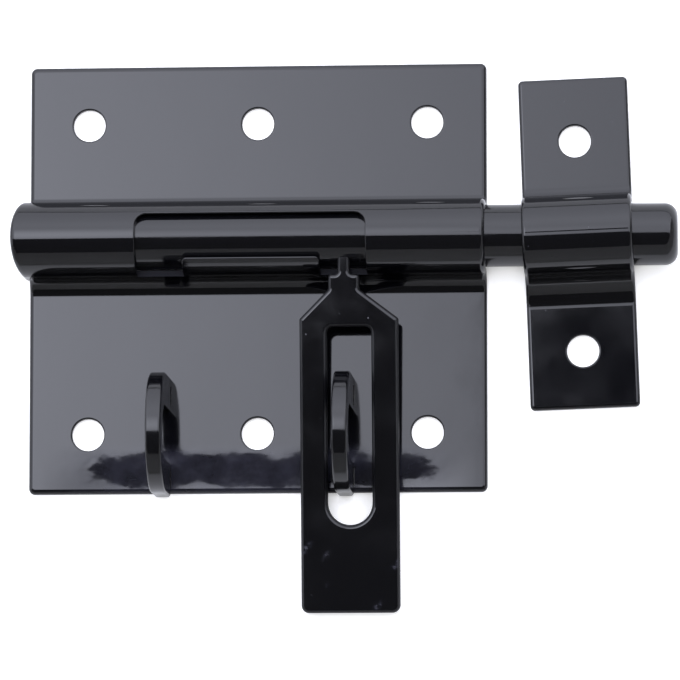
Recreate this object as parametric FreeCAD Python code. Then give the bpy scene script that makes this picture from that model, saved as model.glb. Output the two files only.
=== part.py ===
"""Padbolt: pressed back plate with barrel, round bolt with a slotted hasp, two staples and a keeper.

Frame: back of the plate on z = 0, +X along the bolt towards the keeper, +Y up the door, +Z out of
the door face. The origin is the centre of the plate's back face. Lengths are in millimetres.
"""
import FreeCAD, Part
import math
import os

V = FreeCAD.Vector
os.makedirs("parts", exist_ok=True)

# Sheet and plate
sheet = 1.0
plate_len = 75.6
plate_high = 71.1
plate_corner_r = 1.0
plate_edge_r = 0.8
hole_d = 5.3
hole_rim_r = 0.25
hole_inset_x = 9.8
hole_inset_y = 9.8

# Bolt and barrel
rod_d = 10.2
bolt_y = 6.1
door_gap = 0.2
barrel_play = 0.1
barrel_past_left = 2.15
barrel_end_bow = 2.4
barrel_end_play = 0.25
bend_low_r = 2.7
bend_high_r = 1.2
step_gap = 0.02
rod_tail_in = 2.5
rod_past_keeper = 7.35
rod_tip_r = 2.1
rod_tail_r = 0.5

# Travel of the bolt between the two staples, and the middle of that travel
throw = 30.2
throw_mid = -0.55

# Staples
staple_thick = 2.6
staple_half = 9.9
staple_high = 17.0
staple_past_plate = 0.6
staple_edge_r = 0.45
eye_wide = 8.4
eye_top_wall = 3.6
foot_long = 3.0
foot_gap = 0.1
foot_recess = 0.05
seat_gap = 0.05

# Hasp
hasp_shift = 0.9
hasp_offset = 2.9
hasp_thick = 2.1
hasp_wide = 16.2
hasp_tail = 14.4
hasp_corner_r = 1.3
hasp_edge_r = 0.65
hasp_tip_gap = 0.3
tenon_wide = 2.0
neck_wide = 5.1
neck_shift = -0.8
neck_gap = 0.2
neck_long = 2.5
shoulder_long = 4.8
shoulder_r = 0.5
slot_side_play = 2.35
slot_near_play = 7.7
slot_far_play = 4.9
slot_top_r = 1.0
weld_gap = 0.05

# Window in the barrel, with the tab between the two notches
window_top_angle = 34.0
window_corner_r = 1.9
tab_top_angle = 36.9
tab_corner_r = 0.75
window_edge_r = 0.2
notch_side_play = 2.8
notch_drop = 1.4

# Keeper
keeper_gap = 6.1
keeper_wide = 18.0
keeper_play = 0.37
keeper_lean = 2.0
keeper_up = 26.7
keeper_down = 28.1
keeper_hole_up = 16.2
keeper_hole_down = 18.6
keeper_hole_d = 5.3
keeper_bend_low_r = 5.0
keeper_bend_high_r = 2.1
keeper_corner_r = 0.8
keeper_edge_r = 0.6

# Derived sizes
rod_r = rod_d / 2
bolt_z = rod_r + door_gap
barrel_r = rod_r + barrel_play
barrel_out_r = barrel_r + sheet
keeper_r = rod_r + keeper_play
hole_pitch_x = plate_len / 2 - hole_inset_x
hole_pitch_y = plate_high - 2 * hole_inset_y
lock_x = throw_mid + throw / 2
park_x = throw_mid - throw / 2
staple_y = staple_half - staple_past_plate - plate_high / 2
staple_reach = bolt_y - staple_y
foot_out = (staple_half - staple_past_plate + eye_wide / 2) / 2
hasp_x = lock_x + hasp_shift
hasp_back = hasp_offset - hasp_thick / 2
slot_wide = staple_thick + 2 * slot_side_play
slot_start = staple_reach - staple_half - slot_near_play
slot_end = staple_reach + staple_half + slot_far_play
hasp_end = slot_end + hasp_tail
hasp_tilt = (math.asin((bolt_z - hasp_tip_gap) / math.hypot(hasp_back, hasp_end))
             + math.atan2(hasp_back, hasp_end))
neck_start = math.sqrt((barrel_out_r + neck_gap) ** 2 - hasp_back ** 2)
neck_end = neck_start + neck_long
shoulder_end = neck_end + shoulder_long
notch_half = tenon_wide / 2 + notch_side_play
window_left = park_x - notch_half
window_right = lock_x + notch_half
tab_left = park_x + notch_half
tab_right = lock_x - notch_half
window_top = barrel_out_r * math.sin(math.radians(window_top_angle))
tab_top = -barrel_out_r * math.sin(math.radians(tab_top_angle))
notch_floor = (bolt_z + hasp_back * math.cos(hasp_tilt) - barrel_out_r * math.sin(hasp_tilt)
               - notch_drop)
keeper_x = plate_len / 2 + keeper_gap + keeper_wide / 2
rod_left = rod_tail_in - plate_len / 2
rod_tip = keeper_x + keeper_wide / 2 + rod_past_keeper


def box(x0, x1, y0, y1, z0, z1):
    """Box between two corners."""
    return Part.makeBox(x1 - x0, y1 - y0, z1 - z0, V(x0, y0, z0))


def rounded_slab(x0, x1, y0, y1, z0, z1, r):
    """Box whose four upright edges are rounded."""
    slab = box(x0, x1, y0, y1, z0, z1)
    upright = [e for e in slab.Edges if abs(e.BoundBox.ZLength - (z1 - z0)) < 1e-6]
    return slab.makeFillet(r, upright)


def arc(cy, cz, r, a0, a1):
    """Arc in the YZ plane from angle a0 to a1, in degrees from +Y towards +Z."""
    def at(a):
        q = math.radians(a)
        return V(0, cy + r * math.cos(q), cz + r * math.sin(q))
    return Part.Arc(at(a0), at((a0 + a1) / 2), at(a1)).toShape()


def line(y0, z0, y1, z1):
    """Straight edge in the YZ plane."""
    return Part.makeLine(V(0, y0, z0), V(0, y1, z1))


def foot_of_bend(outer_r, front_r):
    """Reach of a channel's bend from the bolt's axis, its lean in degrees and the wall above it."""
    drop = bolt_z - sheet - front_r
    if drop > 0:
        return outer_r + front_r, 0, drop
    slant = outer_r + front_r
    return math.sqrt(slant ** 2 - drop ** 2), math.degrees(math.asin(drop / slant)), 0


def pressed_strip(y_low, y_high, inner_r, low_r, high_r, x0, x1):
    """Sheet pressed to a raised round channel about the bolt's axis, with a flat on each side."""
    outer_r = inner_r + sheet
    low_reach, low_lean, low_wall = foot_of_bend(outer_r, low_r)
    high_reach, high_lean, high_wall = foot_of_bend(outer_r, high_r)
    low = bolt_y - low_reach
    high = bolt_y + high_reach
    low_z = sheet + low_r
    high_z = sheet + high_r
    edges = [line(y_low, sheet, low, sheet), arc(low, low_z, low_r, -90, low_lean)]
    if low_wall > 0:
        edges.append(line(bolt_y - outer_r, low_z, bolt_y - outer_r, bolt_z))
    edges.append(arc(bolt_y, bolt_z, outer_r, 180 + low_lean, -high_lean))
    if high_wall > 0:
        edges.append(line(bolt_y + outer_r, bolt_z, bolt_y + outer_r, high_z))
    edges.append(arc(high, high_z, high_r, 180 - high_lean, 270))
    edges.append(line(high, sheet, y_high, sheet))
    edges.append(line(y_high, sheet, y_high, 0))
    edges.append(line(y_high, 0, high, 0))
    edges.append(arc(high, high_z, high_r + sheet, 270, 180 - high_lean))
    if high_wall > 0:
        edges.append(line(bolt_y + inner_r, high_z, bolt_y + inner_r, bolt_z))
    edges.append(arc(bolt_y, bolt_z, inner_r, -high_lean, 180 + low_lean))
    if low_wall > 0:
        edges.append(line(bolt_y - inner_r, bolt_z, bolt_y - inner_r, low_z))
    edges.append(arc(low, low_z, low_r + sheet, low_lean, -90))
    edges.append(line(low, 0, y_low, 0))
    edges.append(line(y_low, 0, y_low, sheet))
    face = Part.Face(Part.Wire(edges))
    strip = face.extrude(V(x1 - x0, 0, 0))
    strip.translate(V(x0, 0, 0))
    return strip, low, high


def pick(shape, test):
    """Edges of a shape whose bounding box passes the test."""
    return [e for e in shape.Edges if test(e.BoundBox)]


def flat_at(b, z):
    """True for an edge that lies in the plane at height z."""
    return abs(b.ZMin - z) < 1e-4 and abs(b.ZMax - z) < 1e-4


def side_edges(shape, x, radii):
    """Edges on the front of a pressed strip, flat or of these radii, at the end where X is x."""
    chosen = []
    for e in shape.Edges:
        b = e.BoundBox
        if abs(b.XMin - x) > 1e-4 or abs(b.XMax - x) > 1e-4:
            continue
        radius = getattr(e.Curve, "Radius", 0)
        if flat_at(b, sheet) or min(abs(radius - r) for r in radii) < 1e-6:
            chosen.append(e)
    return chosen


def round_window(edge):
    """True for an edge of the window or tab on the barrel's outer surface."""
    mid = edge.valueAt((edge.FirstParameter + edge.LastParameter) / 2)
    far = math.hypot(mid.y - bolt_y, mid.z - bolt_z)
    inside = window_left - 1e-4 < mid.x < window_right + 1e-4 and mid.z > bolt_z
    return inside and abs(far - barrel_out_r) < 1e-3


def make_barrel_end(x0, x1):
    """Short length of barrel with a bowed end, which stands out past the plate's side."""
    wide = barrel_out_r - step_gap
    tall = bolt_z + barrel_out_r + 1
    bow = x0 + barrel_end_bow
    end = pressed_strip(bolt_y - 2 * wide, bolt_y + 2 * wide, barrel_r, bend_low_r, bend_high_r,
                        x0, x1)[0]
    end = end.common(box(x0, x1, bolt_y - wide, bolt_y + wide, -1, tall))
    oval = Part.Ellipse(V(bow, bolt_y + barrel_out_r + barrel_end_play, -2), V(x0, bolt_y, -2),
                        V(bow, bolt_y, -2))
    oval = Part.Face(Part.Wire(oval.toShape())).extrude(V(0, 0, 2 * tall))
    end = end.cut(box(x0 - 1, bow, bolt_y - wide - 1, bolt_y + wide + 1, -1, tall).cut(oval))
    rim = pick(end, lambda b: b.XMin < x0 + 0.01 and b.ZMax > bolt_z + barrel_out_r - 0.01)
    return end.makeFillet(plate_edge_r, rim)


def make_back_plate():
    """Back plate with its barrel, window, screw holes and staple slots."""
    half = plate_len / 2
    top = plate_high / 2
    left = -half - barrel_past_left
    lift = bolt_z + barrel_out_r + 1
    radii = (barrel_out_r, bend_low_r, bend_high_r)
    body, low, high = pressed_strip(-top, top, barrel_r, bend_low_r, bend_high_r, -half, half)
    corners = pick(body, lambda b: b.XLength < 1e-6 and b.YLength < 1e-6
                   and abs(abs(b.YMin) - top) < 1e-4)
    body = body.makeFillet(plate_corner_r, corners)
    front = side_edges(body, -half, radii) + side_edges(body, half, radii)
    front += pick(body, lambda b: flat_at(b, sheet) and b.XLength > 1e-4
                  and (b.YMin < low - 0.01 or b.YMax > high + 0.01))
    body = body.makeFillet(plate_edge_r, front)
    body = body.fuse(make_barrel_end(left, sheet - half)).removeSplitter()
    for ix in (-1, 0, 1):
        for iy in (-1, 1):
            at = V(ix * hole_pitch_x, iy * hole_pitch_y / 2, -1)
            body = body.cut(Part.makeCylinder(hole_d / 2, sheet + 2, at))
    rims = pick(body, lambda b: flat_at(b, sheet) and abs(b.XLength - hole_d) < 0.01
                and abs(b.YLength - hole_d) < 0.01)
    body = body.makeFillet(hole_rim_r, rims)
    window = rounded_slab(window_left, window_right, bolt_y + tab_top, bolt_y + window_top,
                          bolt_z, lift, window_corner_r)
    square = box(window_left, window_right, bolt_y + tab_top, bolt_y, bolt_z, lift)
    body = body.cut(window.fuse(square))
    for x0, x1 in ((window_left, tab_left), (tab_right, window_right)):
        body = body.cut(box(x0, x1, low, bolt_y, notch_floor, lift))
    tab_ends = pick(body, lambda b: min(abs(b.XMin - tab_left), abs(b.XMin - tab_right)) < 1e-4
                    and b.XLength < 1e-6 and b.YLength < 1e-4
                    and abs(b.YMin - bolt_y - tab_top) < 1e-4)
    body = body.makeFillet(tab_corner_r, tab_ends)
    rims = [e for e in body.Edges if round_window(e)]
    body = body.makeFillet(window_edge_r, rims)
    for x_mid in (park_x, lock_x):
        for sy in (-1, 1):
            y_mid = staple_y + sy * foot_out
            body = body.cut(box(x_mid - staple_thick / 2 - foot_gap,
                                x_mid + staple_thick / 2 + foot_gap,
                                y_mid - foot_long / 2 - foot_gap,
                                y_mid + foot_long / 2 + foot_gap, -1, sheet + 1))
    return body


def make_rod():
    """Plain round bolt with a rounded tip."""
    rod = Part.makeCylinder(rod_r, rod_tip - rod_left, V(rod_left, bolt_y, bolt_z), V(1, 0, 0))
    tip = pick(rod, lambda b: b.XMin > rod_tip - 0.01)
    rod = rod.makeFillet(rod_tip_r, tip)
    tail = pick(rod, lambda b: b.XMax < rod_left + 0.01)
    return rod.makeFillet(rod_tail_r, tail)


def make_hasp():
    """Flat slotted hasp with a neck and a tenon, which is cupped to the bolt's surface."""
    half = hasp_wide / 2
    inside = rod_r / 4
    low = hasp_back
    high = hasp_back + hasp_thick
    n0 = neck_shift - neck_wide / 2
    n1 = neck_shift + neck_wide / 2
    t0 = neck_shift - tenon_wide / 2
    t1 = neck_shift + tenon_wide / 2
    outline = [
        (t0, -inside), (t0, -neck_start), (n0, -neck_start), (n0, -neck_end),
        (-half, -shoulder_end), (-half, -hasp_end), (half, -hasp_end), (half, -shoulder_end),
        (n1, -neck_end), (n1, -neck_start), (t1, -neck_start), (t1, -inside), (t0, -inside),
    ]
    wire = Part.makePolygon([V(x, y, low) for x, y in outline])
    blank = Part.Face(wire).extrude(V(0, 0, hasp_thick))
    corners = pick(blank, lambda b: b.ZLength > hasp_thick / 2 and b.YMin < -hasp_end + 0.01)
    blank = blank.makeFillet(hasp_corner_r, corners)
    bends = pick(blank, lambda b: b.ZLength > hasp_thick / 2
                 and -hasp_end + hasp_corner_r < b.YMin < -rod_r)
    blank = blank.makeFillet(shoulder_r, bends)
    slot_r = slot_wide / 2
    deep = hasp_thick + 2
    slot = box(-slot_r, slot_r, -slot_end + slot_r, -slot_start, low - 1, low - 1 + deep)
    round_end = Part.makeCylinder(slot_r, deep, V(0, -slot_end + slot_r, low - 1))
    slot = slot.fuse(round_end).removeSplitter()
    top = pick(slot, lambda b: b.ZLength > hasp_thick and b.YMin > -slot_start - 0.01)
    slot = slot.makeFillet(slot_top_r, top)
    blank = blank.cut(slot)
    rims = pick(blank, lambda b: (flat_at(b, high) or flat_at(b, low)) and b.YMin < -inside - 0.01)
    blank = blank.makeFillet(hasp_edge_r, rims)
    cup = Part.makeCylinder(rod_r + weld_gap, 2 * hasp_wide, V(-hasp_wide, 0, 0), V(1, 0, 0))
    hasp = blank.cut(cup)
    hasp.rotate(V(0, 0, 0), V(1, 0, 0), math.degrees(hasp_tilt))
    hasp.translate(V(hasp_x, bolt_y, bolt_z))
    return hasp


def make_staple(x_mid):
    """Stamped eye standing across the plate, with two feet through it."""
    z0 = sheet + seat_gap
    z_arc = sheet + staple_high - staple_half
    eye_r = eye_wide / 2
    eye_z = sheet + staple_high - eye_top_wall - eye_r
    x0 = x_mid - staple_thick / 2
    x1 = x_mid + staple_thick / 2
    outer = box(x0, x1, staple_y - staple_half, staple_y + staple_half, z0, z_arc)
    dome = Part.makeCylinder(staple_half, staple_thick, V(x0, staple_y, z_arc), V(1, 0, 0))
    dome = dome.common(box(x0, x1, staple_y - staple_half, staple_y + staple_half,
                           z_arc, z_arc + staple_half))
    body = outer.fuse(dome).removeSplitter()
    eye = box(x0 - 1, x1 + 1, staple_y - eye_r, staple_y + eye_r, -1, eye_z)
    eye = eye.fuse(Part.makeCylinder(eye_r, staple_thick + 2, V(x0 - 1, staple_y, eye_z), V(1, 0, 0)))
    body = body.cut(eye).removeSplitter()
    rims = pick(body, lambda b: b.XLength < 1e-6 and b.ZMax > z0 + staple_edge_r)
    body = body.makeFillet(staple_edge_r, rims)
    for sy in (-1, 1):
        y_mid = staple_y + sy * foot_out
        body = body.fuse(box(x0, x1, y_mid - foot_long / 2, y_mid + foot_long / 2,
                             foot_recess, z0 + staple_edge_r))
    return body.removeSplitter()


def make_keeper():
    """Strap pressed to a round arch over the bolt, with a screw hole in each flange."""
    x0 = keeper_x - keeper_wide / 2
    x1 = keeper_x + keeper_wide / 2
    ends = (bolt_y - keeper_down, bolt_y + keeper_up)
    radii = (keeper_r + sheet, keeper_bend_low_r, keeper_bend_high_r)
    body = pressed_strip(ends[0], ends[1], keeper_r, keeper_bend_low_r, keeper_bend_high_r, x0, x1)[0]
    corners = pick(body, lambda b: b.XLength < 1e-6 and b.YLength < 1e-6
                   and min(abs(b.YMin - ends[0]), abs(b.YMin - ends[1])) < 1e-4)
    body = body.makeFillet(keeper_corner_r, corners)
    rim = side_edges(body, x0, radii) + side_edges(body, x1, radii)
    rim += pick(body, lambda b: flat_at(b, sheet) and (b.YMin < ends[0] + keeper_corner_r
                or b.YMax > ends[1] - keeper_corner_r) and b.XLength > 1e-4)
    body = body.makeFillet(keeper_edge_r, rim)
    for y in (bolt_y + keeper_hole_up, bolt_y - keeper_hole_down):
        body = body.cut(Part.makeCylinder(keeper_hole_d / 2, sheet + 2, V(keeper_x, y, -1)))
    rims = pick(body, lambda b: flat_at(b, sheet) and abs(b.XLength - keeper_hole_d) < 0.01)
    body = body.makeFillet(hole_rim_r, rims)
    body.rotate(V(keeper_x, bolt_y, 0), V(0, 0, 1), keeper_lean)
    return body


solids = {
    "back_plate": make_back_plate(),
    "bolt_rod": make_rod(),
    "hasp": make_hasp(),
    "lock_staple": make_staple(lock_x),
    "park_staple": make_staple(park_x),
    "keeper": make_keeper(),
}
for name, shape in solids.items():
    if shape.ShapeType != "Solid":
        shape = shape.Solids[0]
    shape.exportStep("parts/" + name + ".step")
    b = shape.BoundBox
    print(name, shape.isValid(), round(shape.Volume, 2),
          [round(v, 2) for v in (b.XMin, b.XMax, b.YMin, b.YMax, b.ZMin, b.ZMax)])
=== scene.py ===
import math

import bpy
from mathutils import Matrix, Vector

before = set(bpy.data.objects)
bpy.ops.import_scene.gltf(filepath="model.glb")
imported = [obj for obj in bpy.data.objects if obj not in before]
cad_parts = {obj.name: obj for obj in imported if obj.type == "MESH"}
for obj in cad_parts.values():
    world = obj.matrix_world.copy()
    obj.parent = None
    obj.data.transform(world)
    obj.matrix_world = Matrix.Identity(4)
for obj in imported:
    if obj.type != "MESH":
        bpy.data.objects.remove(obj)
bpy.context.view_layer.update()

bl_info = {
    "name": "Enamelled Padbolt",
    "version": (1, 0, 0),
    "blender": (4, 5, 0),
    "location": "3D View > Sidebar > Padbolt",
    "description": "Finishes a black enamelled padbolt and sets it on a pale studio floor",
    "category": "Object",
}

MM = 0.001

# Clear resin of the film, and its specular level where it is whole and where it is thin
ENAMEL_IOR = 1.52
FILM_WHOLE = 0.5
FILM_THIN = 0.02

# Dull smears, patches in which dust lies, the solid middle of a speck and its roughness
SMEAR_SIZE = 7 * MM
DUST_PATCH = 11 * MM
DUST_CORE = 0.45
DUST_ROUGH = 0.5

# Uneven enamel along the plate's lower border: its two ends along X, its slope along Y, its depth,
# the length and reach of its wavering, and the fade along Y and the patches of its dull film, whose pale
# colour is a painted reflection
BORDER_LEFT = (-36 * MM, -19 * MM)
BORDER_RIGHT = (20 * MM, 36 * MM)
BORDER_SLOPE = (-33.2 * MM, -26 * MM)
BORDER_DROP = 0.72 * MM
BORDER_WAVER = 8 * MM
BORDER_SWING = 4 * MM
BORDER_FADE = (-30 * MM, -27 * MM)
BORDER_PATCH = 3.5 * MM

# Scuffs on the hasp's tail: their spacing, stretch, slant and grain, and their fade along Y
SCUFF_SPACING = 3.0 * MM
SCUFF_STRETCH = 2.4
SCUFF_SLANT = math.radians(48)
SCUFF_GRAIN = 0.7 * MM
SCUFF_FADE = (-44 * MM, -40 * MM)

# Notch floors: above this Z, below this Y, and facing the front more than this
NOTCH_ABOVE = 2 * MM
NOTCH_BELOW = 1.3 * MM
NOTCH_FACING = 0.9

# How far a face turns from the front before it is an edge, and to the side before it is a cut side
EDGE_TURN = (0.9, 0.97)
SIDE_TURN = (0.8, 0.97)

# Floor, just under the part, and its cove: each step widens it by a factor and lifts it
FLOOR_RADIUS = 2.2
FLOOR_DROP = 0.05 * MM
COVE_STEPS = ((1.09, 0.03), (1.07, 0.11), (1.05, 0.2), (1.02, 0.3), (1.0, 1.9))

# White that lifts the floor where it is seen, the share of it in gloss, and the gaps where it fades into
# painted shade
FLOOR_LIFT = 0.72
GLOSS_SHARE = 0.36
GAP_REACH = 25 * MM
PAINTED_SHADE_FADE = (0.05, 0.35)

# Soft panel with its far edge, the angles from overhead between which it brightens and then dims,
# one lamp behind it, side panel, black card, dim room and the camera's film
PANEL_LENGTH = 2.8
PANEL_FAR = math.radians(86)
PANEL_RISE = (math.radians(8), math.radians(36))
PANEL_GAIN = 1.16
PANEL_SINK = (math.radians(40), math.radians(88))
PANEL_DIM = 0.6
LAMP_PLACE = (-0.31, 0.15, 1.08)
LAMP_REACH = 0.44
SIDE_SIZE = 1.3
SIDE_PLACE = (-1.5, 0.2, 0.66)
CARD_SIZE = (0.082, 0.06)
CARD_PLACE = (0.0365, 0.1085, 1.05)
CARD_COLOUR = "#161616"
ROOM_LEVEL = 0.085
SENSOR_WIDTH = 36.0


def from_hex(code):
    """Turns an sRGB hex colour into the linear colour that a shader socket takes."""
    parts = [int(code[i:i + 2], 16) / 255 for i in (1, 3, 5)]
    linear = [p / 12.92 if p <= 0.04045 else ((p + 0.055) / 1.055) ** 2.4 for p in parts]
    return (*linear, 1.0)


def add(tree, kind, settings=None, values=None, links=None):
    """Adds one node with its settings, its socket values and the links that come into it."""
    node = tree.nodes.new(kind)
    for name, value in (settings or {}).items():
        setattr(node, name, value)
    for name, value in (values or {}).items():
        node.inputs[name].default_value = value
    for name, source in (links or {}).items():
        tree.links.new(source, node.inputs[name])
    return node


def bare_material(name):
    """Gives a new material with an empty node tree, and that tree."""
    material = bpy.data.materials.new(name)
    material.use_nodes = True
    material.node_tree.nodes.clear()
    return material, material.node_tree


class EnamelProps(bpy.types.PropertyGroup):
    """Finish of the black baked enamel."""

    colour: bpy.props.StringProperty(
        name="Colour", description="Colour of the enamel, as an sRGB hex value", default="#09090C")
    roughness: bpy.props.FloatProperty(
        name="Roughness", description="Roughness of the clean gloss", default=0.05,
        min=0.0, max=1.0, subtype="FACTOR")
    peel_size: bpy.props.FloatProperty(
        name="Orange peel", description="Width of one dimple of the orange peel",
        default=1.6 * MM, unit="LENGTH", precision=5)
    peel_depth: bpy.props.FloatProperty(
        name="Peel depth", description="Depth of the orange peel",
        default=0.0016 * MM, unit="LENGTH", precision=7)
    wave_size: bpy.props.FloatProperty(
        name="Press waves", description="Length of the slow waves that pressing leaves in the sheet",
        default=17 * MM, unit="LENGTH", precision=4)
    wave_depth: bpy.props.FloatProperty(
        name="Wave depth", description="Depth of the slow waves in the pressed sheet",
        default=0.03 * MM, unit="LENGTH", precision=6)
    dust_size: bpy.props.FloatProperty(
        name="Dust", description="Spacing of the dust specks on the enamel",
        default=2.6 * MM, unit="LENGTH", precision=4)
    cut_colour: bpy.props.StringProperty(
        name="Cut colour", description="Colour of the thin matt film on cut faces, as an sRGB hex value",
        default="#232328")
    # Pale colour of the scuffed film on the hasp's tail; on the plate's lower border the same colour is a
    # painted reflection.
    pale_colour_for_scuffs_and_painted_reflection: bpy.props.StringProperty(
        name="Haze colour", description="Colour of the pale veil on uneven enamel, as an sRGB hex value",
        default="#3A3A46")
    dust_colour: bpy.props.StringProperty(
        name="Dust colour", description="Colour of the dust specks, as an sRGB hex value",
        default="#4A4A50")


class StageProps(bpy.types.PropertyGroup):
    """Camera, floor and light."""

    side_angle: bpy.props.FloatProperty(
        name="Side angle",
        description="How far the camera stands to the keeper's side of the plate's normal",
        default=math.radians(4.0), subtype="ANGLE")
    low_angle: bpy.props.FloatProperty(
        name="Low angle",
        description="How far the camera stands to the hasp's side of the plate's normal",
        default=math.radians(7.0), subtype="ANGLE")
    distance: bpy.props.FloatProperty(
        name="Distance", description="Distance from the camera to the plate", default=1.0, unit="LENGTH")
    aim: bpy.props.FloatVectorProperty(
        name="Aim", description="Point on the plate that the camera looks at",
        default=(13.55 * MM, -10.3 * MM, 0.5 * MM), subtype="XYZ", unit="LENGTH")
    view_width: bpy.props.FloatProperty(
        name="View width", description="Width that the picture covers at the plate",
        default=111.9 * MM, unit="LENGTH", precision=4)
    floor_colour: bpy.props.StringProperty(
        name="Floor colour", description="Colour of the floor, as an sRGB hex value", default="#DADADA")
    panel_radius: bpy.props.FloatProperty(
        name="Panel radius", description="Distance of the curved soft panel from the plate",
        default=1.1, unit="LENGTH")
    panel_near: bpy.props.FloatProperty(
        name="Panel near edge",
        description="Angle from overhead at which the panel starts, on the hasp's side",
        default=math.radians(-3.5), subtype="ANGLE")
    panel_level: bpy.props.FloatProperty(
        name="Panel level", description="Brightness of the panel overhead", default=2.55)
    lamp_level: bpy.props.FloatProperty(
        name="Lamp level", description="Brightness that the lamp behind the cloth adds at its middle",
        default=3.4)
    side_level: bpy.props.FloatProperty(
        name="Side level", description="Brightness of the panel at the side", default=1.5)
    cloth_colour: bpy.props.StringProperty(
        name="Cloth colour", description="Colour of the diffuser cloth, as an sRGB hex value",
        default="#EDF0FF")


def black_enamel(name, tone, props):
    """Baked black enamel: a deep gloss film with fine orange peel, slow press waves and stray dust.

    The film is a clear hard resin over black, so it mirrors the room weakly, keeps sharp edges in
    the reflection, and bends them a little where the sheet under it isn't flat. The tone gives the
    share of the press waves, the roughness of the smears and the width of the dust specks, where
    zero leaves the dust out. It may also name a height ("fall"), a mask of cut faces ("thin") and
    masks of dull film, each with the roughness and the share of pale colour that it adds ("dull");
    that pale colour is scuffed film on the hasp's tail and a painted reflection on the plate's lower
    border.
    """
    material, tree = bare_material(name)
    place = add(tree, "ShaderNodeTexCoord")
    at = place.outputs["Object"]

    peel = add(tree, "ShaderNodeTexNoise", None,
               {"Scale": 1 / props.peel_size, "Detail": 1.0, "Roughness": 0.4}, {"Vector": at})
    wave = add(tree, "ShaderNodeTexNoise", None,
               {"Scale": 1 / props.wave_size, "Detail": 1.0, "Roughness": 0.35}, {"Vector": at})
    waves = add(tree, "ShaderNodeBump", None,
                {"Strength": tone["wave"], "Distance": props.wave_depth}, {"Height": wave.outputs[0]})
    if "fall" in tone:
        waves = add(tree, "ShaderNodeBump", None, {"Strength": 1.0, "Distance": 1.0},
                    {"Height": tone["fall"](tree, place), "Normal": waves.outputs[0]})
    bumps = add(tree, "ShaderNodeBump", None,
                {"Strength": 1.0, "Distance": props.peel_depth},
                {"Height": peel.outputs[0], "Normal": waves.outputs[0]})

    smear = add(tree, "ShaderNodeTexNoise", None,
                {"Scale": 1 / SMEAR_SIZE, "Detail": 3.0, "Roughness": 0.55}, {"Vector": at})
    rough = add(tree, "ShaderNodeMapRange", None,
                {"From Min": 0.35, "From Max": 0.75,
                 "To Min": props.roughness, "To Max": props.roughness + tone["smear"]},
                {"Value": smear.outputs[0]})

    speck = add(tree, "ShaderNodeTexVoronoi", {"feature": "F1"},
                {"Scale": 1 / props.dust_size, "Randomness": 1.0}, {"Vector": at})
    dot = add(tree, "ShaderNodeMapRange", {"interpolation_type": "SMOOTHSTEP"},
              {"From Min": tone["speck"], "From Max": tone["speck"] * DUST_CORE,
               "To Min": 0.0, "To Max": 1.0},
              {"Value": speck.outputs["Distance"]})
    patch = add(tree, "ShaderNodeTexNoise", None,
                {"Scale": 1 / DUST_PATCH, "Detail": 1.0}, {"Vector": at})
    where = add(tree, "ShaderNodeMapRange", None,
                {"From Min": 0.52, "From Max": 0.66, "To Min": 0.0, "To Max": 1.0},
                {"Value": patch.outputs[0]})
    dust = add(tree, "ShaderNodeMath", {"operation": "MULTIPLY"}, None,
               {0: dot.outputs[0], 1: where.outputs[0]})
    colour = add(tree, "ShaderNodeMix", {"data_type": "RGBA"},
                 {6: from_hex(props.colour), 7: from_hex(props.dust_colour)}, {0: dust.outputs[0]})
    gloss = add(tree, "ShaderNodeMath", {"operation": "MULTIPLY_ADD"}, {1: DUST_ROUGH},
                {0: dust.outputs[0], 2: rough.outputs[0]})
    for mask, amount, pale_share in tone.get("dull", ()):
        worn = mask(tree, place)
        gloss = add(tree, "ShaderNodeMath", {"operation": "MULTIPLY_ADD"}, {1: amount},
                    {0: worn, 2: gloss.outputs[0]})
        # This pale mix is scuffed film on the hasp's tail and a painted reflection on the plate's lower
        # border.
        pale_share_of_scuffs_and_painted_reflection = add(tree, "ShaderNodeMath", {"operation": "MULTIPLY"}, {1: pale_share}, {0: worn})
        colour = add(tree, "ShaderNodeMix", {"data_type": "RGBA"}, {7: from_hex(props.pale_colour_for_scuffs_and_painted_reflection)},
                     {0: pale_share_of_scuffs_and_painted_reflection.outputs[0], 6: colour.outputs[2]})

    shader = add(tree, "ShaderNodeBsdfPrincipled", None, {"Metallic": 0.0, "IOR": ENAMEL_IOR},
                 {"Base Color": colour.outputs[2], "Roughness": gloss.outputs[0],
                  "Normal": bumps.outputs[0]})
    if "thin" in tone:
        cut = tone["thin"](tree, place)
        film = add(tree, "ShaderNodeMapRange", None,
                   {"From Min": 0.0, "From Max": 1.0, "To Min": FILM_WHOLE, "To Max": FILM_THIN},
                   {"Value": cut})
        matt = add(tree, "ShaderNodeMix", {"data_type": "RGBA"}, {7: from_hex(props.cut_colour)},
                   {0: cut, 6: colour.outputs[2]})
        tree.links.new(film.outputs[0], shader.inputs["Specular IOR Level"])
        tree.links.new(matt.outputs[2], shader.inputs["Base Color"])
    add(tree, "ShaderNodeOutputMaterial", None, None, {"Surface": shader.outputs[0]})
    return material


def border_span(tree, x):
    """One along the middle of the plate's lower border, and zero at its two ends."""
    left = add(tree, "ShaderNodeMapRange", {"interpolation_type": "SMOOTHSTEP"},
               {"From Min": BORDER_LEFT[0], "From Max": BORDER_LEFT[1], "To Min": 0.0, "To Max": 1.0},
               {"Value": x})
    right = add(tree, "ShaderNodeMapRange", {"interpolation_type": "SMOOTHSTEP"},
                {"From Min": BORDER_RIGHT[0], "From Max": BORDER_RIGHT[1], "To Min": 1.0, "To Max": 0.0},
                {"Value": x})
    return add(tree, "ShaderNodeMath", {"operation": "MULTIPLY"}, None,
               {0: left.outputs[0], 1: right.outputs[0]}).outputs[0]


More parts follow.
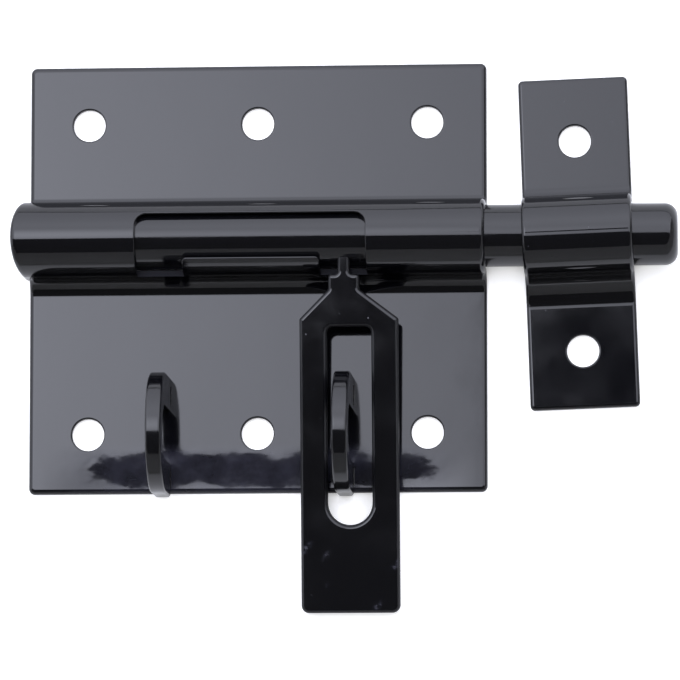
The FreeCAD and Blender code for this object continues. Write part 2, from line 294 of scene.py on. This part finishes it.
def fallen_border(tree, place):
    """Height of the uneven enamel along the plate's lower border, which wavers in what it mirrors."""
    at = place.outputs["Object"]
    spot = add(tree, "ShaderNodeSeparateXYZ", None, None, {0: at})
    ragged = add(tree, "ShaderNodeTexNoise", None,
                 {"Scale": 1 / BORDER_WAVER, "Detail": 3.0, "Roughness": 0.42}, {"Vector": at})
    swing = add(tree, "ShaderNodeMath", {"operation": "MULTIPLY_ADD"}, {1: BORDER_SWING},
                {0: ragged.outputs[0], 2: spot.outputs["Y"]})
    slope = add(tree, "ShaderNodeMapRange", {"interpolation_type": "SMOOTHSTEP"},
                {"From Min": BORDER_SLOPE[0], "From Max": BORDER_SLOPE[1],
                 "To Min": -BORDER_DROP, "To Max": 0.0},
                {"Value": swing.outputs[0]})
    return add(tree, "ShaderNodeMath", {"operation": "MULTIPLY"}, None,
               {0: slope.outputs[0], 1: border_span(tree, spot.outputs["X"])}).outputs[0]


def dull_border_with_painted_reflection(tree, place):
    """One on the uneven lower border of the plate, where the film is less glossy and a pale painted
    reflection is mixed into its colour, and zero above it.
    """
    at = place.outputs["Object"]
    spot = add(tree, "ShaderNodeSeparateXYZ", None, None, {0: at})
    cloud = add(tree, "ShaderNodeTexNoise", None,
                {"Scale": 1 / BORDER_PATCH, "Detail": 3.0, "Roughness": 0.6}, {"Vector": at})
    blotch = add(tree, "ShaderNodeMapRange", None,
                 {"From Min": 0.3, "From Max": 0.7, "To Min": 0.4, "To Max": 1.0},
                 {"Value": cloud.outputs[0]})
    low = add(tree, "ShaderNodeMapRange", {"interpolation_type": "SMOOTHSTEP"},
              {"From Min": BORDER_FADE[0], "From Max": BORDER_FADE[1], "To Min": 1.0, "To Max": 0.0},
              {"Value": spot.outputs["Y"]})
    patchy = add(tree, "ShaderNodeMath", {"operation": "MULTIPLY"}, None,
                 {0: low.outputs[0], 1: blotch.outputs[0]})
    return add(tree, "ShaderNodeMath", {"operation": "MULTIPLY"}, None,
               {0: patchy.outputs[0], 1: border_span(tree, spot.outputs["X"])}).outputs[0]


def stamped_edges(tree, place):
    """One on the rounded edges of the hasp, where the film draws thin and dull, and zero on its flats."""
    facing = add(tree, "ShaderNodeSeparateXYZ", None, None, {0: place.outputs["Normal"]})
    square = add(tree, "ShaderNodeMath", {"operation": "ABSOLUTE"}, None, {0: facing.outputs["Z"]})
    return add(tree, "ShaderNodeMapRange", {"interpolation_type": "SMOOTHSTEP"},
               {"From Min": EDGE_TURN[0], "From Max": EDGE_TURN[1], "To Min": 1.0, "To Max": 0.0},
               {"Value": square.outputs[0]}).outputs[0]


def tail_scuffs(tree, place):
    """One on a few faint scuffs on the hasp's tail, where the film is rubbed, and zero elsewhere."""
    at = place.outputs["Object"]
    spot = add(tree, "ShaderNodeSeparateXYZ", None, None, {0: at})
    skew = add(tree, "ShaderNodeMapping", {"vector_type": "TEXTURE"},
               {"Rotation": (0.0, 0.0, SCUFF_SLANT), "Scale": (SCUFF_STRETCH, 1.0, 1.0)}, {"Vector": at})
    rub = add(tree, "ShaderNodeTexVoronoi", {"feature": "F1"},
              {"Scale": 1 / SCUFF_SPACING, "Randomness": 1.0}, {"Vector": skew.outputs[0]})
    mark = add(tree, "ShaderNodeMapRange", {"interpolation_type": "SMOOTHSTEP"},
               {"From Min": 0.26, "From Max": 0.04, "To Min": 0.0, "To Max": 1.0},
               {"Value": rub.outputs["Distance"]})
    grain = add(tree, "ShaderNodeTexNoise", None,
                {"Scale": 1 / SCUFF_GRAIN, "Detail": 2.0, "Roughness": 0.6}, {"Vector": at})
    broken = add(tree, "ShaderNodeMapRange", None,
                 {"From Min": 0.38, "From Max": 0.62, "To Min": 0.0, "To Max": 1.0},
                 {"Value": grain.outputs[0]})
    low = add(tree, "ShaderNodeMapRange", {"interpolation_type": "SMOOTHSTEP"},
              {"From Min": SCUFF_FADE[0], "From Max": SCUFF_FADE[1], "To Min": 1.0, "To Max": 0.0},
              {"Value": spot.outputs["Y"]})
    patchy = add(tree, "ShaderNodeMath", {"operation": "MULTIPLY"}, None,
                 {0: mark.outputs[0], 1: broken.outputs[0]})
    return add(tree, "ShaderNodeMath", {"operation": "MULTIPLY"}, None,
               {0: patchy.outputs[0], 1: low.outputs[0]}).outputs[0]


def notch_floor(tree, place):
    """One on the cut floors of the barrel's two notches, where the enamel is thin, and zero elsewhere."""
    spot = add(tree, "ShaderNodeSeparateXYZ", None, None, {0: place.outputs["Object"]})
    facing = add(tree, "ShaderNodeSeparateXYZ", None, None, {0: place.outputs["Normal"]})
    flat = add(tree, "ShaderNodeMath", {"operation": "GREATER_THAN"}, {1: NOTCH_FACING},
               {0: facing.outputs["Z"]})
    raised = add(tree, "ShaderNodeMath", {"operation": "GREATER_THAN"}, {1: NOTCH_ABOVE},
                 {0: spot.outputs["Z"]})
    low = add(tree, "ShaderNodeMath", {"operation": "LESS_THAN"}, {1: NOTCH_BELOW},
              {0: spot.outputs["Y"]})
    both = add(tree, "ShaderNodeMath", {"operation": "MULTIPLY"}, None,
               {0: flat.outputs[0], 1: raised.outputs[0]})
    return add(tree, "ShaderNodeMath", {"operation": "MULTIPLY"}, None,
               {0: both.outputs[0], 1: low.outputs[0]}).outputs[0]


def cut_sides(tree, place):
    """One on the stamped flat sides of a staple, where the enamel is thin, and zero elsewhere."""
    facing = add(tree, "ShaderNodeSeparateXYZ", None, None, {0: place.outputs["Normal"]})
    across = add(tree, "ShaderNodeMath", {"operation": "ABSOLUTE"}, None, {0: facing.outputs["X"]})
    return add(tree, "ShaderNodeMapRange", {"interpolation_type": "SMOOTHSTEP"},
               {"From Min": SIDE_TURN[0], "From Max": SIDE_TURN[1], "To Min": 0.0, "To Max": 1.0},
               {"Value": across.outputs[0]}).outputs[0]


def dress(node, material):
    """Puts a finish on a CAD node."""
    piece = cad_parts[node]
    for slot in piece.material_slots:
        slot.material = material


class PADBOLT_OT_plate(bpy.types.Operator):
    """Finishes the pressed back plate and the keeper"""

    bl_idname = "padbolt.plate"
    bl_label = "Back Plate and Keeper"

    def execute(self, context):
        props = context.scene.padbolt_enamel
        tone = {"wave": 1.0, "smear": 0.03, "speck": 0.0}
        # The lower border's mask dulls the gloss and mixes a painted pale reflection into the colour.
        dress("back_plate", black_enamel("baked_black_enamel_on_pressed_sheet",
                                         {**tone, "fall": fallen_border, "thin": notch_floor,
                                          "dull": [(dull_border_with_painted_reflection, 0.11, 0.55)]}, props))
        dress("keeper", black_enamel("baked_black_enamel_on_pressed_strap",
                                     {**tone, "wave": 0.25, "speck": 0.05}, props))
        return {"FINISHED"}


class PADBOLT_OT_bolt(bpy.types.Operator):
    """Finishes the round bolt"""

    bl_idname = "padbolt.bolt"
    bl_label = "Bolt"

    def execute(self, context):
        tone = {"wave": 0.25, "smear": 0.08, "speck": 0.04}
        dress("bolt_rod", black_enamel("baked_black_enamel_on_round_bar", tone,
                                       context.scene.padbolt_enamel))
        return {"FINISHED"}


class PADBOLT_OT_hasp(bpy.types.Operator):
    """Finishes the slotted hasp and its two staples"""

    bl_idname = "padbolt.hasp"
    bl_label = "Hasp and Staples"

    def execute(self, context):
        props = context.scene.padbolt_enamel
        tone = {"wave": 0.6, "smear": 0.1, "speck": 0.07,
                "dull": [(stamped_edges, 0.35, 0.0), (tail_scuffs, 0.25, 0.5)]}
        dress("hasp", black_enamel("baked_black_enamel_on_stamped_steel", tone, props))
        tone = {"wave": 0.4, "smear": 0.12, "speck": 0.0, "thin": cut_sides}
        finish = black_enamel("baked_black_enamel_on_stamped_staple", tone, props)
        for node in ("lock_staple", "park_staple"):
            dress(node, finish)
        return {"FINISHED"}


def studio_floor_paint(props):
    """Matt white studio paint, lifted to plain white where it is seen, and part of the way in gloss.

    Where the part covers it, the white dies away into painted shade, so narrow gaps stay dark.
    """
    material, tree = bare_material("matt_white_studio_paint")
    rays = add(tree, "ShaderNodeLightPath")
    seen = add(tree, "ShaderNodeMath", {"operation": "MAXIMUM"}, None,
               {0: rays.outputs["Is Camera Ray"], 1: rays.outputs["Is Transmission Ray"]})
    shown = add(tree, "ShaderNodeMath", {"operation": "MULTIPLY_ADD"}, {1: GLOSS_SHARE},
                {0: rays.outputs["Is Glossy Ray"], 2: seen.outputs[0]})
    # Ambient occlusion fades the floor's glow: painted shade under the part and in narrow gaps.
    occlusion_for_painted_shade = add(tree, "ShaderNodeAmbientOcclusion", {"samples": 8}, {"Distance": GAP_REACH})
    bare = add(tree, "ShaderNodeMapRange", None,
               {"From Min": PAINTED_SHADE_FADE[0], "From Max": PAINTED_SHADE_FADE[1], "To Min": 0.0, "To Max": FLOOR_LIFT},
               {"Value": occlusion_for_painted_shade.outputs["AO"]})
    level = add(tree, "ShaderNodeMath", {"operation": "MULTIPLY"}, None,
                {0: shown.outputs[0], 1: bare.outputs[0]})
    glow = add(tree, "ShaderNodeEmission", None, {"Color": (1, 1, 1, 1)}, {"Strength": level.outputs[0]})
    paint = add(tree, "ShaderNodeBsdfDiffuse", None, {"Color": from_hex(props.floor_colour)})
    both = add(tree, "ShaderNodeAddShader", None, None, {0: paint.outputs[0], 1: glow.outputs[0]})
    add(tree, "ShaderNodeOutputMaterial", None, None, {"Surface": both.outputs[0]})
    return material


def panel_cloth(props):
    """White diffuser cloth: one lamp glows through it overhead, and it dims down to the horizon."""
    material, tree = bare_material("white_diffuser_cloth")
    place = add(tree, "ShaderNodeTexCoord")
    along = add(tree, "ShaderNodeSeparateXYZ", None, None, {0: place.outputs["Object"]})
    angle = add(tree, "ShaderNodeMath", {"operation": "ARCTAN2"}, None,
                {0: along.outputs["Y"], 1: along.outputs["Z"]})
    rise = add(tree, "ShaderNodeMapRange", {"interpolation_type": "SMOOTHSTEP"},
               {"From Min": PANEL_RISE[0], "From Max": PANEL_RISE[1],
                "To Min": props.panel_level, "To Max": props.panel_level * PANEL_GAIN},
               {"Value": angle.outputs[0]})
    sink = add(tree, "ShaderNodeMapRange", None,
               {"From Min": PANEL_SINK[0], "From Max": PANEL_SINK[1], "To Min": 1.0, "To Max": PANEL_DIM},
               {"Value": angle.outputs[0]})
    base = add(tree, "ShaderNodeMath", {"operation": "MULTIPLY"}, None,
               {0: rise.outputs[0], 1: sink.outputs[0]})
    lamp = add(tree, "ShaderNodeVectorMath", {"operation": "DISTANCE"}, {1: LAMP_PLACE},
               {0: place.outputs["Object"]})
    spot = add(tree, "ShaderNodeMapRange", {"interpolation_type": "SMOOTHSTEP"},
               {"From Min": 0.0, "From Max": LAMP_REACH, "To Min": props.lamp_level, "To Max": 0.0},
               {"Value": lamp.outputs["Value"]})
    level = add(tree, "ShaderNodeMath", {"operation": "ADD"}, None,
                {0: base.outputs[0], 1: spot.outputs[0]})
    glow = add(tree, "ShaderNodeEmission", None, {"Color": from_hex(props.cloth_colour)},
               {"Strength": level.outputs[0]})
    add(tree, "ShaderNodeOutputMaterial", None, None, {"Surface": glow.outputs[0]})
    return material


def side_cloth(props):
    """The same cloth on the plain panel at the side, with an even glow."""
    material, tree = bare_material("white_side_cloth")
    glow = add(tree, "ShaderNodeEmission", None,
               {"Color": from_hex(props.cloth_colour), "Strength": props.side_level})
    add(tree, "ShaderNodeOutputMaterial", None, None, {"Surface": glow.outputs[0]})
    return material


def flag_card():
    """Matt black card, hung under the panel so that the keeper's lower flange mirrors it."""
    material, tree = bare_material("matt_black_card")
    paper = add(tree, "ShaderNodeBsdfDiffuse", None, {"Color": from_hex(CARD_COLOUR)})
    add(tree, "ShaderNodeOutputMaterial", None, None, {"Surface": paper.outputs[0]})
    return material


class PADBOLT_OT_stage(bpy.types.Operator):
    """Sets the pale floor with its coved wall, the two panels, the card, the dim room and the camera"""

    bl_idname = "padbolt.stage"
    bl_label = "Floor, Light and Camera"

    def execute(self, context):
        props = context.scene.padbolt_stage
        bpy.ops.object.select_all(action="DESELECT")

        bpy.ops.mesh.primitive_circle_add(vertices=96, radius=FLOOR_RADIUS, fill_type="NGON",
                                          location=(0, 0, -FLOOR_DROP))
        floor = context.object
        floor.name = "studio_floor"
        bpy.ops.object.mode_set(mode="EDIT")
        bpy.ops.mesh.select_mode(type="EDGE")
        bpy.ops.mesh.select_all(action="SELECT")
        bpy.ops.mesh.region_to_loop()
        for out, up in COVE_STEPS:
            bpy.ops.mesh.extrude_edges_move(TRANSFORM_OT_translate={"value": (0, 0, up)})
            bpy.ops.transform.resize(value=(out, out, 1.0))
        bpy.ops.object.mode_set(mode="OBJECT")
        bpy.ops.object.shade_smooth()
        floor.data.materials.append(studio_floor_paint(props))

        bpy.ops.object.select_all(action="DESELECT")
        bpy.ops.mesh.primitive_cylinder_add(vertices=144, radius=props.panel_radius, depth=PANEL_LENGTH,
                                            end_fill_type="NOTHING", rotation=(0, math.pi / 2, 0))
        bpy.ops.object.transform_apply(location=True, rotation=True, scale=True)
        panel = context.object
        panel.name = "soft_panel"
        bpy.ops.object.mode_set(mode="EDIT")
        for edge, side in ((props.panel_near, -1), (PANEL_FAR, 1)):
            bpy.ops.mesh.select_all(action="SELECT")
            bpy.ops.mesh.bisect(plane_co=(0, 0, 0), clear_outer=True,
                                plane_no=(0, side * math.cos(edge), -side * math.sin(edge)))
        bpy.ops.object.mode_set(mode="OBJECT")
        panel.data.materials.append(panel_cloth(props))
        panel.visible_camera = False

        bpy.ops.object.select_all(action="DESELECT")
        bpy.ops.mesh.primitive_plane_add(size=SIDE_SIZE, location=SIDE_PLACE,
                                         rotation=(0, math.pi / 2, 0))
        side_panel = context.object
        side_panel.name = "side_panel"
        side_panel.data.materials.append(side_cloth(props))
        side_panel.visible_camera = False

        bpy.ops.object.select_all(action="DESELECT")
        bpy.ops.mesh.primitive_plane_add(size=1.0, location=CARD_PLACE)
        card = context.object
        card.name = "black_card"
        bpy.ops.object.mode_set(mode="EDIT")
        bpy.ops.mesh.select_all(action="SELECT")
        bpy.ops.transform.resize(value=(*CARD_SIZE, 1.0))
        bpy.ops.object.mode_set(mode="OBJECT")
        card.data.materials.append(flag_card())
        card.visible_camera = False

        world = bpy.data.worlds.new("dim_studio_room")
        context.scene.world = world
        world.use_nodes = True
        room = world.node_tree.nodes["Background"]
        room.inputs["Color"].default_value = from_hex("#FFFFFF")
        room.inputs["Strength"].default_value = ROOM_LEVEL

        toward = Vector((math.sin(props.side_angle) * math.cos(props.low_angle),
                         -math.sin(props.low_angle),
                         math.cos(props.side_angle) * math.cos(props.low_angle)))
        aim = Vector(props.aim)
        data = bpy.data.cameras.new("camera")
        data.sensor_width = SENSOR_WIDTH
        data.lens = SENSOR_WIDTH * props.distance / props.view_width
        data.clip_start = 0.01
        camera = bpy.data.objects.new("camera", data)
        context.scene.collection.objects.link(camera)
        right = Vector((0, 1, 0)).cross(toward).normalized()
        camera.matrix_world = Matrix.Translation(aim + toward * props.distance) @ Matrix(
            (right, toward.cross(right), toward)).transposed().to_4x4()
        context.scene.camera = camera
        context.scene.view_settings.view_transform = "Standard"
        return {"FINISHED"}


class PADBOLT_PT_sidebar(bpy.types.Panel):
    """Lists the padbolt's pieces and settings"""

    bl_idname = "PADBOLT_PT_sidebar"
    bl_label = "Padbolt"
    bl_space_type = "VIEW_3D"
    bl_region_type = "UI"
    bl_category = "Padbolt"

    def draw(self, context):
        column = self.layout.column()
        for operator in OPERATORS:
            column.operator(operator.bl_idname)
        for props in (context.scene.padbolt_enamel, context.scene.padbolt_stage):
            box = self.layout.box()
            for name in props.__annotations__:
                box.prop(props, name)


OPERATORS = (PADBOLT_OT_plate, PADBOLT_OT_bolt, PADBOLT_OT_hasp, PADBOLT_OT_stage)
CLASSES = (EnamelProps, StageProps, *OPERATORS, PADBOLT_PT_sidebar)


def register():
    for cls in CLASSES:
        bpy.utils.register_class(cls)
    bpy.types.Scene.padbolt_enamel = bpy.props.PointerProperty(type=EnamelProps)
    bpy.types.Scene.padbolt_stage = bpy.props.PointerProperty(type=StageProps)


def unregister():
    del bpy.types.Scene.padbolt_stage
    del bpy.types.Scene.padbolt_enamel
    for cls in reversed(CLASSES):
        bpy.utils.unregister_class(cls)


def main():
    register()
    bpy.ops.padbolt.plate()
    bpy.ops.padbolt.bolt()
    bpy.ops.padbolt.hasp()
    bpy.ops.padbolt.stage()


if __name__ == "__main__":
    main()
